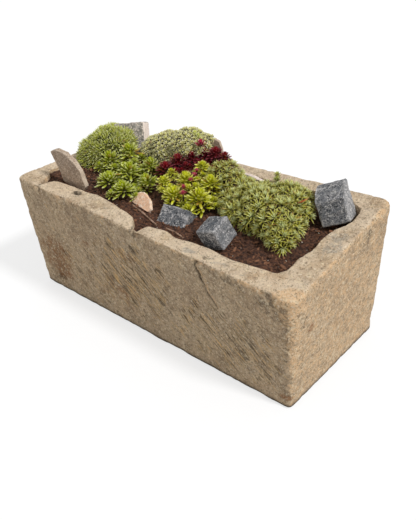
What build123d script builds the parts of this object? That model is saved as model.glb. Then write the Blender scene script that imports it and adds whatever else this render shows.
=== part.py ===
from build123d import *
from math import radians, sin, cos
import os

os.makedirs("parts", exist_ok=True)

# A sandstone water trough, reused as a planter. The frame's origin is under the middle of
# the trough, on the ground, with X along its length, -Y to the long front and +Z up.
# All sizes are in millimetres.

# Block: hewn by hand, so each top corner has a height of its own
rim_length = 1000
rim_width = 430
rim_height_front_left = 368
rim_height_front_right = 342
rim_height_back_left = 348
rim_height_back_right = 405
back_left_inset = 10
foot_inset_left = 28
foot_inset_right_front = 22
foot_inset_right_back = 28
foot_inset_front = 13
foot_inset_back = 21

# Wear on the block's edges
front_corner_radius = 34
back_corner_radius = 26
rim_radius = 15
foot_radius = 9
mouth_radius = 5
# An edge of the block within this many degrees of upright is one of its corners
corner_edge_angle = 20

# Hollow
wall_front = 62
wall_back = 48
wall_left = 52
wall_right_front = 82
wall_right_back = 48
base_thickness = 75
floor_draft_end = 36
floor_draft_side = 24
hollow_corner_radius = 28
# How far a cutter runs past what it cuts
overrun = 20

# Marks on the block: a worn notch, an old dowel hole, a spalled pit and the drain hole
notch_x = -12
notch_half_width = 30
notch_depth = 14
dowel_radius = 7
dowel_depth = 26
dowel_x = -276
dowel_inset = 15
pit_x = -395
pit_height = 47
pit_sphere_radius = 30
pit_depth = 8
drain_radius = 15

# Fill: crock over the drain hole, gravel, then compost up to a bed that falls to the right
crock_radius = 58
crock_thickness = 8
crock_length = 90
crock_rise = 34
gravel_depth = 45
bed_height = 345
bed_fall = 22
bed_rise_back = 12
mound_radius = 125
mound_height = 42

# One named clearance parts every piece from the next
clearance = 0.3

# Granite setts: length, width and height of each split cube
sett_edge_break = 3
sett_sizes = {
    "sett_back": (96, 67, 119),
    "sett_middle": (90, 80, 57),
    "sett_front": (65, 65, 62),
    "sett_right": (79, 62, 100),
}

# Thin stones: width, height and thickness of each slab, chip and slate
slab_sizes = {
    "slab_upright": (138, 125, 16),
    "chip_tan": (101, 43, 11),
    "slate_left": (138, 58, 5),
    "slate_right": (72, 58, 5),
    "slab_pale": (74, 62, 12),
    "slab_back": (40, 120, 10),
}

# Plants: cushions of fine leaves, and rosettes with two rings of leaves about a heart
mossy_cushion_height = 104
pale_cushion_height = 132
silver_cushion_height = 98
leaf_thickness = 3
green_rosette_radius = 34
red_rosette_radius = 24
yellow_rosette_radius = 30

# The bed's plane, fixed by its middle height, its fall to the right and its rise to the back
hollow_length = rim_length - wall_left - wall_right_front
hollow_width = rim_width - wall_front - wall_back
bed_x = (wall_left - wall_right_front) / 2
bed_y = (wall_front - wall_back) / 2
bed = Plane(
    origin=(bed_x, bed_y, bed_height),
    x_dir=(hollow_length, 0, -bed_fall),
    z_dir=(bed_fall / hollow_length, -bed_rise_back / hollow_width, 1),
)
mouth_height = rim_height_back_right + overrun


def finish(builder, name):
    """Labels a finished piece and writes it under its name."""
    builder.part.label = name
    export_step(builder.part, f"parts/{name}.step")


def plane_through(first, second, third):
    """The plane through three points, which faces the side where they turn anticlockwise."""
    a, b, c = Vector(first), Vector(second), Vector(third)
    return Plane(origin=a, x_dir=b - a, z_dir=(b - a).cross(c - a))


def block_form(grow, worn):
    """The outer block, with its top grown by a clearance, and its edges worn round or sharp."""
    half_length = rim_length / 2
    half_width = rim_width / 2
    front_foot = -half_width + foot_inset_front
    left_foot = -half_length + foot_inset_left
    right_foot_front = half_length - foot_inset_right_front
    right_foot_back = half_length - foot_inset_right_back
    rims = (
        (-half_length - overrun, rim_height_front_left, rim_height_back_left, back_left_inset),
        (half_length + overrun, rim_height_front_right, rim_height_back_right, 0),
    )
    with BuildPart() as block:
        for x, front_height, back_height, back_inset in rims:
            with BuildSketch(Plane.YZ.offset(x)):
                with BuildLine():
                    Polyline(
                        (front_foot, -overrun),
                        (front_foot, 0),
                        (-half_width, front_height + grow),
                        (half_width - back_inset, back_height + grow),
                        (half_width - back_inset - foot_inset_back, 0),
                        (half_width - back_inset - foot_inset_back, -overrun),
                        close=True,
                    )
                make_face()
        loft(ruled=True)
        # The foot is cut off level, so that the block stands on one true plane
        split(bisect_by=Plane.XY, keep=Keep.TOP)
        left_end = plane_through(
            (left_foot, 0, 0),
            (-half_length, 0, rim_height_front_left),
            (left_foot, half_width, 0),
        )
        right_end = plane_through(
            (right_foot_front, -half_width, 0),
            (right_foot_back, half_width, 0),
            (half_length, -half_width, rim_height_front_right),
        )
        split(bisect_by=left_end, keep=Keep.BOTTOM)
        split(bisect_by=right_end, keep=Keep.BOTTOM)
        if worn:
            steepest = cos(radians(corner_edge_angle))
            upright = block.edges().filter_by(lambda edge: abs(edge.tangent_at(0.5).Z) > steepest)
            fillet(upright.filter_by(lambda edge: edge.center().Y < 0), front_corner_radius)
            upright = block.edges().filter_by(lambda edge: abs(edge.tangent_at(0.5).Z) > steepest)
            fillet(upright.filter_by(lambda edge: edge.center().Y > half_width / 2), back_corner_radius)
            top_face = block.faces().sort_by(Axis.Z)[-1]
            fillet(top_face.edges(), rim_radius)
            foot_face = block.faces().sort_by(Axis.Z)[0]
            fillet(foot_face.edges(), foot_radius)
    return block.part


def hollow_form(gap):
    """The hewn hollow from its floor to above the rim, drawn in from its walls by a gap."""
    left = -rim_length / 2 + wall_left + gap
    right_front = rim_length / 2 - wall_right_front - gap
    right_back = rim_length / 2 - wall_right_back - gap
    front = -rim_width / 2 + wall_front + gap
    back_left = rim_width / 2 - back_left_inset - wall_back - gap
    back_right = rim_width / 2 - wall_back - gap
    sections = (
        (base_thickness + gap, floor_draft_end, floor_draft_side),
        (mouth_height, 0, 0),
    )
    with BuildPart() as hollow:
        for height, end, side in sections:
            with BuildSketch(Plane.XY.offset(height)) as section:
                with BuildLine():
                    Polyline(
                        (left + end, front + side),
                        (right_front - end, front + side),
                        (right_back - end, back_right - side),
                        (left + end, back_left - side),
                        close=True,
                    )
                make_face()
                fillet(section.vertices(), hollow_corner_radius)
        loft(ruled=True)
    return hollow.part


def front_rim_height(x):
    """The height of the front rim's outer edge at a place along it."""
    share = x / rim_length + 1 / 2
    return rim_height_front_left + (rim_height_front_right - rim_height_front_left) * share


# The trough, with its worn hollow, notch, dowel hole, spalled pit and drilled drain hole
notch_floor = front_rim_height(notch_x) - notch_depth
hollow_front = -rim_width / 2 + wall_front
dowel_drop = mouth_height - front_rim_height(dowel_x) + dowel_depth
face_at_pit = -rim_width / 2 + foot_inset_front * (1 - pit_height / rim_height_front_left)

with BuildPart() as trough:
    add(block_form(0, True))
    add(hollow_form(0), mode=Mode.SUBTRACT)
    rim_face = trough.faces().filter_by(lambda face: len(face.inner_wires()) > 0)[0]
    fillet(rim_face.inner_wires()[0].edges(), mouth_radius)
    with BuildSketch(Plane.XY.offset(notch_floor)):
        with BuildLine():
            Polyline(
                (notch_x - notch_half_width, hollow_front + overrun),
                (notch_x, -rim_width / 2),
                (notch_x + notch_half_width, hollow_front + overrun),
                close=True,
            )
        make_face()
    extrude(amount=mouth_height - notch_floor, mode=Mode.SUBTRACT)
    with Locations((dowel_x, hollow_front - dowel_inset, mouth_height)):
        Hole(dowel_radius, dowel_drop)
    with Locations((pit_x, face_at_pit - pit_sphere_radius + pit_depth, pit_height)):
        Sphere(pit_sphere_radius, mode=Mode.SUBTRACT)
    with Locations((bed_x, bed_y, base_thickness)):
        Hole(drain_radius)

finish(trough, "trough")

# What stands in the bed keeps clear of the walls by this copy of the block, a gap larger
with BuildPart() as walls:
    add(block_form(clearance, False))
    add(hollow_form(clearance), mode=Mode.SUBTRACT)


def on_bed(x_share, y_share, rise):
    """A place on the bed, by shares of the hollow's length and width from its middle."""
    return bed.location * Location((x_share * hollow_length, y_share * hollow_width, rise))


# Setts: place shares of the hollow, centre's rise as a share of the height, and turns in degrees
sett_place_shares = {
    "sett_back": (-0.388, 0.372, 0.21, (-21, -18, 31)),
    "sett_middle": (0.055, -0.266, -0.24, (-49, -6, 5)),
    "sett_front": (0.245, -0.381, 0.53, (-167, 19, 174)),
    "sett_right": (0.456, 0.372, 0.59, (-7, -26, 17)),
}


def sett_form(name, grow):
    """A granite sett with broken edges, or the room it needs when it is grown by a gap."""
    x_share, y_share, rise_share, turns = sett_place_shares[name]
    length, width, height = sett_sizes[name]
    place = on_bed(x_share, y_share, rise_share * height) * Location((0, 0, 0), turns)
    with BuildPart() as sett:
        with Locations(place):
            Box(length + 2 * grow, width + 2 * grow, height + 2 * grow)
        if not grow:
            chamfer(sett.edges(), sett_edge_break)
    return sett.part


# Thin stones: place shares of the left foot of each, its depth in the bed as a share of its
# height, its turn about the upright, its lean from upright, and its outline
slab_place_shares = {
    "slab_upright": (-0.461, -0.422, 0.16, 0, 0),
    "chip_tan": (-0.147, -0.306, 0.05, -14, 45),
    "slate_left": (-0.118, -0.357, 0.88, -16, 0),
    "slate_right": (0.063, -0.455, 0.88, -5, 0),
    "slab_pale": (0.086, 0.462, 0.42, 0, 0),
    "slab_back": (-0.035, 0.457, 0.05, 0, 0),
}
slab_outline_shares = {
    "slab_upright": [
        (0.30, 0), (0.83, 0), (1, 0.28), (0.91, 0.66), (0.76, 0.83),
        (0.51, 0.98), (0.20, 1), (0, 0.89), (0.04, 0.78), (0.22, 0.42),
    ],
    "chip_tan": [(0.12, 0), (0.50, 0), (0.95, 0.09), (1, 0.40), (0.77, 0.81), (0.39, 1), (0.23, 0.84), (0, 0.19)],
    "slate_left": [(0, 0), (1, 0), (1, 0.97), (0.45, 1), (0, 0.92)],
    "slate_right": [(0, 0), (1, 0), (0.97, 0.90), (0.60, 1), (0.04, 0.94)],
    "slab_pale": [(0.30, 0.05), (0.95, 0), (1, 0.90), (0.65, 0.97), (0.10, 1), (0, 0.15)],
    "slab_back": [(0, 0), (1, 0), (1, 0.80), (0.80, 0.97), (0.35, 1), (0, 0.82)],
}


def slab_form(name, grow):
    """A thin stone on edge, or the room it needs when it is grown by a gap."""
    x_share, y_share, depth_share, turn, lean = slab_place_shares[name]
    width, height, thickness = slab_sizes[name]
    foot = on_bed(x_share, y_share, -depth_share * height) * Location((0, 0, 0), (0, 0, turn))
    stand = foot * Location((0, 0, 0), (90 - lean, 0, 0))
    with BuildPart() as slab:
        with BuildSketch(Plane(stand)):
            with BuildLine():
                Polyline(*[(x * width, y * height) for x, y in slab_outline_shares[name]], close=True)
            make_face()
            if grow:
                offset(amount=grow, kind=Kind.INTERSECTION)
        extrude(amount=thickness / 2 + grow, both=True)
    return slab.part


# Every stone's room, taken out of the compost and of the plants beside it
stone_rooms = {name: sett_form(name, clearance) for name in sett_sizes}
stone_rooms.update({name: slab_form(name, clearance) for name in slab_sizes})

for stone_name in sett_sizes:
    with BuildPart() as stone:
        add(sett_form(stone_name, 0))
        add(walls.part, mode=Mode.SUBTRACT)
    finish(stone, stone_name)

for stone_name in slab_sizes:
    with BuildPart() as stone:
        add(slab_form(stone_name, 0))
        add(walls.part, mode=Mode.SUBTRACT)
    finish(stone, stone_name)

# A potsherd, arched over the drain hole to keep the gravel out of it
crock_drop = crock_radius - crock_rise
hollow_floor = Plane.XY.offset(base_thickness)

with BuildPart() as drain_crock:
    with BuildSketch(Plane.XZ.offset(-bed_y)):
        with Locations((bed_x, base_thickness - crock_drop)):
            Circle(crock_radius)
            Circle(crock_radius - crock_thickness, mode=Mode.SUBTRACT)
    extrude(amount=crock_length / 2, both=True)
    split(bisect_by=hollow_floor, keep=Keep.TOP)

finish(drain_crock, "drain_crock")

with BuildPart() as crock_room:
    with BuildSketch(Plane.XZ.offset(-bed_y)):
        with Locations((bed_x, base_thickness - crock_drop)):
            Circle(crock_radius + clearance)
    extrude(amount=crock_length / 2 + clearance, both=True)

# Gravel on the hollow's floor, round the crock
gravel_top = Plane.XY.offset(base_thickness + gravel_depth)

with BuildPart() as drainage_gravel:
    add(hollow_form(clearance))
    split(bisect_by=gravel_top, keep=Keep.BOTTOM)
    add(crock_room.part, mode=Mode.SUBTRACT)

finish(drainage_gravel, "drainage_gravel")

# Bark compost, from the gravel up to the sloping bed, mounded in the middle and round the stones
mound_place_shares = (-0.035, 0.172)


def mound_form(grow):
    """The ball whose cap is the mound, or the room it needs when it is grown by a gap."""
    ball_radius = (mound_radius**2 + mound_height**2) / (2 * mound_height)
    with BuildPart() as mound:
        with Locations(on_bed(*mound_place_shares, mound_height - ball_radius)):
            Sphere(ball_radius + grow)
    return mound.part


mound_room = mound_form(clearance)

with BuildPart() as mound_in_hollow:
    add(hollow_form(clearance))
    split(bisect_by=gravel_top, keep=Keep.TOP)
    add(mound_form(0), mode=Mode.INTERSECT)

with BuildPart() as soil:
    add(hollow_form(clearance))
    split(bisect_by=gravel_top, keep=Keep.TOP)
    split(bisect_by=bed, keep=Keep.BOTTOM)
    add(mound_in_hollow.part)
    add(list(stone_rooms.values()), mode=Mode.SUBTRACT)

finish(soil, "soil")

# Rosettes: place shares of the hollow, radius share of the kind, and height share of the radius
green_rosette_shares = [
    (-0.245, -0.290, 1.00, 1.20),
    (-0.168, -0.328, 0.98, 1.15),
    (-0.212, -0.119, 1.00, 1.60),
    (-0.341, -0.049, 0.95, 1.50),
    (-0.293, 0.090, 0.95, 2.00),
    (-0.138, -0.122, 0.86, 1.35),
    (-0.177, 0.051, 0.80, 2.10),
]
red_rosette_shares = [
    (-0.119, 0.078, 0.92, 2.4),
    (-0.104, 0.200, 0.80, 3.4),
    (-0.074, 0.300, 0.72, 4.1),
    (-0.040, 0.378, 0.75, 4.4),
    (0.003, 0.391, 0.75, 4.9),
    (0.040, 0.395, 0.58, 6.0),
]
yellow_rosette_shares = [
    (-0.066, -0.096, 0.64, 2.75),
    (0.006, -0.179, 0.93, 1.75),
    (0.001, -0.002, 0.93, 2.35),
    (-0.078, 0.040, 0.45, 4.2),
    (0.075, 0.090, 0.93, 2.25),
    (0.091, -0.106, 1.10, 1.65),
    (-0.001, 0.221, 0.66, 3.5),
]
leaf_outline_shares = [(0, 0.35), (0.55, 1), (0.85, 0.75), (1, 0), (0.85, -0.75), (0.55, -1), (0, -0.35)]
stump_foot_share = 0.62
# The stump's half width and its drop below the top, both as shares of the radius
stump_profile_shares = [(0.70, 0.90), (0.50, 0.40), (0.20, 0), (0, 0)]
leaf_width_share = 0.20
# Outer and inner ring: start, reach and drop below the top, all of the radius, and tilt in degrees
leaf_ring_shares = [(0.35, 1, 0.50, 12), (0.20, 0.72, 0.35, 40)]


def leaf_form(length, half_width, tilt):
    """One pointed leaf, from the heart outwards along X, tilted up from level."""
    with BuildPart() as leaf:
        with BuildSketch(Plane.XY.rotated((0, -tilt, 0))):
            with BuildLine():
                Polyline(*[(x * length, y * half_width) for x, y in leaf_outline_shares], close=True)
            make_face()
        extrude(amount=leaf_thickness / 2, both=True)
    return leaf.part


def rosette_form(place, radius, height, leaf_counts):
    """A rosette: a stump of packed old leaves, with two rings of leaves about its heart."""
    rings = []
    for count, (start_share, reach_share, drop_share, tilt) in zip(leaf_counts, leaf_ring_shares):
        start = start_share * radius
        length = (reach_share * radius - start) / cos(radians(tilt))
        leaf = leaf_form(length, leaf_width_share * radius, tilt)
        rings.append((count, start, height - drop_share * radius, leaf))
    with BuildPart() as rosette:
        with BuildSketch(Plane.XZ):
            with BuildLine():
                Polyline(
                    (0, 0),
                    (stump_foot_share * radius, 0),
                    *[(x * radius, height - drop * radius) for x, drop in stump_profile_shares],
                    close=True,
                )
            make_face()
        revolve(axis=Axis.Z)
        for count, start, level, leaf in rings:
            with Locations((0, 0, level)):
                with PolarLocations(start, count):
                    add(leaf)
    return rosette.part.moved(place)


# Each kind: its name, radius, places and leaves in the outer and the inner ring
rosette_kinds = (
    ("houseleek_green", green_rosette_radius, green_rosette_shares, (11, 8)),
    ("houseleek_red", red_rosette_radius, red_rosette_shares, (9, 6)),
    ("houseleek_yellow", yellow_rosette_radius, yellow_rosette_shares, (11, 8)),
)
rosette_rooms = []

for kind, kind_radius, place_shares, leaf_counts in rosette_kinds:
    for number, (x_share, y_share, radius_share, height_share) in enumerate(place_shares, 1):
        rosette_radius = radius_share * kind_radius
        rosette_height = height_share * rosette_radius
        place = on_bed(x_share, y_share, 0)
        with BuildPart() as houseleek:
            add(rosette_form(place, rosette_radius, rosette_height, leaf_counts))
            add([walls.part, mound_room, *stone_rooms.values()], mode=Mode.SUBTRACT)
        finish(houseleek, f"{kind}_{number}")
        with BuildPart() as houseleek_room:
            with Locations(place):
                Cylinder(
                    rosette_radius + clearance,
                    rosette_height + overrun,
                    align=(Align.CENTER, Align.CENTER, Align.MIN),
                )
        rosette_rooms.append(houseleek_room.part)

# Cushions: place shares of the hollow for each hummock, its radius and its top as shares of
# the cushion's height
cushion_heights = {
    "saxifrage_mossy": mossy_cushion_height,
    "saxifrage_pale": pale_cushion_height,
    "saxifrage_silver": silver_cushion_height,
    "saxifrage_silver_small": silver_cushion_height,
}
cushion_hummock_shares = {
    "saxifrage_mossy": [
        (-0.412, 0.150, 0.80, 1.00),
        (-0.440, 0.020, 0.60, 0.76),
        (-0.385, 0.270, 0.55, 0.90),
        (-0.450, 0.280, 0.55, 0.82),
    ],
    "saxifrage_pale": [
        (-0.266, 0.347, 0.47, 0.66),
        (-0.196, 0.380, 0.53, 0.90),
        (-0.119, 0.415, 0.50, 1.00),
        (-0.062, 0.440, 0.34, 0.88),
    ],
    "saxifrage_silver": [
        (0.285, 0.059, 0.78, 0.96),
        (0.352, 0.016, 0.67, 0.94),
        (0.394, -0.109, 0.47, 0.63),
        (0.232, 0.097, 0.57, 0.88),
        (0.364, 0.197, 0.51, 0.88),
        (0.320, 0.266, 0.53, 0.96),
        (0.352, 0.284, 0.45, 0.90),
        (0.385, 0.022, 0.47, 0.78),
        (0.237, 0.247, 0.45, 0.90),
    ],
    "saxifrage_silver_small": [
        (0.070, 0.284, 0.51, 0.88),
        (0.112, 0.241, 0.47, 0.78),
        (0.154, 0.266, 0.45, 0.63),
    ],
}
hummock_foot_share = 0.85
# Where the dome's round turns in to the foot, in degrees below its middle
hummock_turn = 20


def hummock_form(radius, top):
    """A hummock: a round dome on a foot that goes down below the bed."""
    middle = top - radius
    turn = radians(hummock_turn)
    shoulder = (radius * cos(turn), middle - radius * sin(turn))
    with BuildPart() as hummock:
        with BuildSketch(Plane.XZ):
            with BuildLine():
                ThreePointArc((0, top), (radius, middle), shoulder)
                Polyline(shoulder, (hummock_foot_share * radius, -radius), (0, -radius), (0, top))
            make_face()
        revolve(axis=Axis.Z)
    return hummock.part


def cushion_form(name, grow):
    """A cushion of hummocks that stands on the bed, or its room when it is grown by a gap."""
    height = cushion_heights[name]
    hummocks = [
        hummock_form(radius_share * height + grow, top_share * height + grow).moved(on_bed(x_share, y_share, 0))
        for x_share, y_share, radius_share, top_share in cushion_hummock_shares[name]
    ]
    with BuildPart() as cushion:
        add(hummocks)
        split(bisect_by=bed, keep=Keep.TOP)
    return cushion.part


earlier_cushions = []

for cushion_name in cushion_heights:
    with BuildPart() as cushion:
        add(cushion_form(cushion_name, 0))
        add([walls.part, mound_room, *stone_rooms.values(), *rosette_rooms], mode=Mode.SUBTRACT)
        for earlier_name in earlier_cushions:
            add(cushion_form(earlier_name, clearance), mode=Mode.SUBTRACT)
    earlier_cushions.append(cushion_name)
    finish(cushion, cushion_name)
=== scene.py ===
import itertools
import math
import bpy
import numpy as np
from mathutils import Matrix, Vector


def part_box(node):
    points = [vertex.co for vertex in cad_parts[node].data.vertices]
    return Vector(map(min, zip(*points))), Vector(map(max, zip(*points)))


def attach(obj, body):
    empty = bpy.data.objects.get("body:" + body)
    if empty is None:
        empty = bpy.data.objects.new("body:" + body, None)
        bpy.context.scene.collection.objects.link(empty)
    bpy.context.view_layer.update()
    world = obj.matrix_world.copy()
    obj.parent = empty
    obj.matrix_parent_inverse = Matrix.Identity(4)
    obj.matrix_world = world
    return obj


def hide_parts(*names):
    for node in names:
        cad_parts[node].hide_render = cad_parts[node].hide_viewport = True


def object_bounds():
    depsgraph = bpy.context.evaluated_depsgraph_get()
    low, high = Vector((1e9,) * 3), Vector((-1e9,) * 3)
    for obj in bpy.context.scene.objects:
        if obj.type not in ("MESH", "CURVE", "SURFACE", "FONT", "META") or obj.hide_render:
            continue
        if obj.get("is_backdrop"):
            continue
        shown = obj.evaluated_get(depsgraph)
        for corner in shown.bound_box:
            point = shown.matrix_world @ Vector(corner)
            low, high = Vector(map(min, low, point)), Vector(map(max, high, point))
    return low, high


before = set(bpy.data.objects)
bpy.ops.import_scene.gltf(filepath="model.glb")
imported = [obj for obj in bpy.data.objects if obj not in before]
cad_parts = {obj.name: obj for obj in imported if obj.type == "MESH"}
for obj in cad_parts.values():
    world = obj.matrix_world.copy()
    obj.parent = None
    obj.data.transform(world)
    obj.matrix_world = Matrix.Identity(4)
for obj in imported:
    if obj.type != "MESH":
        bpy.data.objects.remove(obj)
cad_low, cad_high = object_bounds()

# The trough: one block of sandstone, roughed out and hollowed with a pick, then dressed with a
# point in slanting strokes. Long use and weather have rounded its arrises, most at the front
# right corner. It stands by its own weight.
mm = 0.001
rim_corners = np.array([(-500, -215, 368), (500, -215, 342), (497, 215, 405), (-500, 205, 348)]) * mm
foot_corners = np.array([(-472, -203, 0), (478, -200, 0), (472, 193, 0), (-470, 185, 0)]) * mm
floor_corners = np.array([(-412, -129, 75), (382, -129, 75), (416, 143, 75), (-412, 133, 75)]) * mm
# The worn corners of the rim: which one, how worn it is as a share, and how far that reaches
worn_corners = ((1, 1, 75 * mm), (2, 0.35, 60 * mm))
# The mouth's ragged outline, side by side from the front left, anticlockwise from above
mouth_front = [
    (-455, -125), (-432, -142), (-409, -192), (-399, -180), (-390, -155), (-376, -151), (-313, -146),
    (-258, -146), (-225, -137), (-169, -145), (-91, -155), (-47, -167), (-24, -190), (-12, -207),
    (-2, -190), (9, -171), (68, -162), (110, -171), (157, -160), (213, -158), (280, -162),
    (357, -152), (405, -147),
]
mouth_right = [(418, -122), (416, -84), (425, -41), (421, 13), (428, 50), (450, 95), (447, 130)]
mouth_back = [
    (440, 152), (400, 166), (290, 168), (150, 163), (0, 165), (-150, 158), (-300, 160), (-420, 150),
]
mouth_left = [(-440, 130), (-446, 80), (-443, 0), (-448, -70)]
mouth_drop = 2 * mm
# The notch worn in the front rim: its place, then its depth and half its width, first at the
# mouth and then at the outer edge, where it is shallower
notch_x = -12 * mm
notch_depth, notch_reach = 13 * mm, 14 * mm
outer_notch_depth, outer_notch_reach = 6 * mm, 12 * mm
# In mm: how far the arris is rounded, how much that varies, and how much more at a worn corner
arris_round, arris_vary, arris_more = 12, 4, 12
lip_round, foot_round, foot_lift = 5 * mm, 6 * mm, 1.5 * mm
drain_middle = np.array((-15, 7, 0)) * mm
drain_radius = 15 * mm
# The mesh: columns along the front, right, back and left, and rings up each part of the profile
side_columns = (215, 105, 215, 105)
column_total = sum(side_columns)
wall_rings, arris_rings, rim_rings, lip_rings, inner_rings = 92, 7, 14, 4, 14


def smooth_noise(points, spacing, seed=0):
    """Noise from -1 to 1 with about one bump to each spacing, the same on every run."""
    scramble, seed_step, stretch = (127.1, 311.7, 74.7), 19.3, 43758.5453
    cells = np.floor(points / spacing)
    share = points / spacing - cells
    share = share * share * (3 - 2 * share)
    total = np.zeros(len(points))
    for corner in itertools.product((0, 1), repeat=3):
        key = (cells + corner) @ scramble + seed_step * seed
        value = np.modf(np.sin(key) * stretch)[0]
        total += value * np.prod(np.where(corner, share, 1 - share), axis=1)
    return total


def rough_noise(points, spacing, octaves, seed=0):
    """Noise with finer and fainter bumps added to the large ones."""
    return sum(smooth_noise(points, spacing / 2**n, seed + n) / 2**n for n in range(octaves))


def linear(hex_colour):
    """An sRGB hex colour as linear red, green, blue and alpha, by the sRGB standard's own numbers."""
    shares = [int(hex_colour[n:n + 2], 16) / 255 for n in (1, 3, 5)]
    return [s / 12.92 if s <= 0.04045 else ((s + 0.055) / 1.055) ** 2.4 for s in shares] + [1]


def add(tree, kind, inputs=(), **settings):
    """Adds a node with its settings. Each input is a value, or the socket that feeds it."""
    node = tree.nodes.new(kind)
    for name, value in settings.items():
        setattr(node, name, value)
    for name, value in dict(inputs).items():
        if isinstance(value, bpy.types.NodeSocket):
            tree.links.new(value, node.inputs[name])
        else:
            node.inputs[name].default_value = value
    return node


def empty_material(name):
    """A new material and its empty node tree."""
    material = bpy.data.materials.new(name)
    material.use_nodes = True
    material.node_tree.nodes.clear()
    return material, material.node_tree


def make_piece(name, points, faces, material, slot, replaced=(), smooth=True, **values):
    """A mesh piece with a value of each kind at each point. It rides on the root body."""
    mesh = bpy.data.meshes.new(name)
    mesh.from_pydata(np.asarray(points).tolist(), [], faces)
    mesh.polygons.foreach_set("use_smooth", np.full(len(mesh.polygons), smooth))
    for value_name, value in values.items():
        layer = mesh.attributes.new(value_name, "FLOAT", "POINT")
        layer.data.foreach_set("value", np.asarray(value, np.float32))
    mesh.materials.append(material)
    piece = bpy.data.objects.new(name, mesh)
    bpy.context.scene.collection.objects.link(piece)
    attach(piece, "root")
    if replaced:
        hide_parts(*replaced)


def loop_through(sides, counts):
    """A closed loop of points, evenly spaced along each side and joined side to side."""
    loop = []
    for number, side in enumerate(sides):
        path = np.array([*side, sides[(number + 1) % len(sides)][0]], float)
        steps = np.r_[0, np.cumsum(np.linalg.norm(np.diff(path, axis=0), axis=1))]
        places = np.linspace(0, steps[-1], counts[number], endpoint=False)
        loop.append(np.stack([np.interp(places, steps, values) for values in path.T], 1))
    return np.concatenate(loop)


def round_off(loop, width):
    """A closed loop with its corners rounded over a number of points."""
    reach = int(3 * width)
    weights = np.exp(-0.5 * (np.arange(-reach, reach + 1) / width) ** 2)
    weights /= weights.sum()
    return sum(w * np.roll(loop, k, axis=0) for k, w in zip(range(-reach, reach + 1), weights))


def bend_over(start, corner, end, shares):
    """Rings that turn from start to end round a corner, as a worn arris does."""
    return [(1 - t) ** 2 * start + 2 * t * (1 - t) * corner + t**2 * end for t in shares]


def lay_between(start, end, shares):
    """Rings laid straight from start to end."""
    return [(1 - t) * start + t * end for t in shares]


def even_shares(count, end=1):
    """Even steps from zero to just short of the end."""
    return np.linspace(0, end, count, endpoint=False)


def fade(distance, reach, power=2):
    """One at no distance, falling off over the reach. A higher power makes a sharper edge."""
    return np.exp(-((distance / reach) ** power))


def rim_height(places):
    """The height of the hewn rim, which slopes between its four corners."""
    across = places[:, 0] / (2 * rim_corners[1, 0]) + 0.5
    along = places[:, 1] / (2 * rim_corners[2, 1]) + 0.5
    front = (1 - across) * rim_corners[0, 2] + across * rim_corners[1, 2]
    back = (1 - across) * rim_corners[3, 2] + across * rim_corners[2, 2]
    return (1 - along) * front + along * back


# Loops of the rim's outer edge, the foot, the hollow's floor and the mouth. The corners of each
# are rounded over a number of points of the loop.
block_rounding, worn_rounding, floor_rounding, mouth_rounding = 2.6, 6.5, 5, 0.9
rim_sharp = loop_through(rim_corners[:, None], side_columns)
corner_wear = sum(
    share * fade(np.linalg.norm(rim_sharp - rim_corners[corner], axis=1), reach)
    for corner, share, reach in worn_corners
)[:, None]
rim = round_off(rim_sharp, block_rounding)
rim += corner_wear * (round_off(rim_sharp, worn_rounding) - rim)
foot = round_off(loop_through(foot_corners[:, None], side_columns), block_rounding)
hollow_floor = round_off(loop_through(floor_corners[:, None], side_columns), floor_rounding)
mouth_sides = [np.array(side) * mm for side in (mouth_front, mouth_right, mouth_back, mouth_left)]
mouth = round_off(loop_through(mouth_sides, side_columns), mouth_rounding)
mouth = np.c_[mouth, rim_height(mouth) - mouth_drop]
mouth[:, 2] -= notch_depth * fade(mouth[:, 0] - notch_x, notch_reach) * (mouth[:, 1] < 0)
rim[:, 2] -= outer_notch_depth * fade(rim[:, 0] - notch_x, outer_notch_reach) * (rim[:, 1] < 0)
inward = (mouth - rim) * (1, 1, 0)
rim_width = np.linalg.norm(inward, axis=1, keepdims=True)
inward /= rim_width
wall_up = (rim - foot) / np.linalg.norm(rim - foot, axis=1, keepdims=True)
arris = arris_round + arris_vary * smooth_noise(rim, 60 * mm, seed=3)[:, None] + arris_more * corner_wear
arris = np.minimum(arris * mm, 0.4 * rim_width)
lip = np.minimum(lip_round, 0.2 * rim_width)

# Rings from the drain hole's foot, out and up over the rim, down the hollow and back to the hole.
# The hollow's wall is rough down to where the compost hides it.
rough_down = 0.3
to_foot = (foot - drain_middle) * (1, 1, 0)
drain_low = drain_middle + to_foot / np.linalg.norm(to_foot, axis=1, keepdims=True) * drain_radius
drain_high = drain_low + (0, 0, floor_corners[0, 2])
foot_in = foot + 2.5 * foot_round * inward
wall_start = foot + foot_round * wall_up
wall_end = rim - arris * wall_up
rim_start = rim + arris * inward
rim_end = mouth - lip * inward
lip_low = mouth - lip * (0, 0, 1)
rings = lay_between(drain_low, foot_in, (0, 0.35, 0.7, 0.93))
rings += bend_over(foot_in, foot + (0, 0, foot_lift), wall_start, (0, 0.33, 0.67))
first_rough = len(rings)
rings += lay_between(wall_start, wall_end, even_shares(wall_rings))
arris_ring = len(rings) + 2.5
rings += bend_over(wall_end, rim, rim_start, even_shares(arris_rings))
rings += lay_between(rim_start, rim_end, even_shares(rim_rings))
rings += bend_over(rim_end, mouth, lip_low, even_shares(lip_rings))
rings += lay_between(lip_low, hollow_floor, even_shares(inner_rings, rough_down))
last_rough = len(rings)
rings += lay_between(lip_low, hollow_floor, (rough_down, 0.6, 0.95))
rings += lay_between(hollow_floor, drain_high, (0.08, 0.6, 1))
grid = np.stack(rings)
along_loop = np.roll(grid, -1, axis=1) - np.roll(grid, 1, axis=1)
up_profile = np.roll(grid, -1, axis=0) - np.roll(grid, 1, axis=0)
outward = np.cross(along_loop, up_profile)
outward = (outward / np.maximum(np.linalg.norm(outward, axis=2, keepdims=True), 1e-9)).reshape(-1, 3)
block = grid.reshape(-1, 3)
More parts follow.
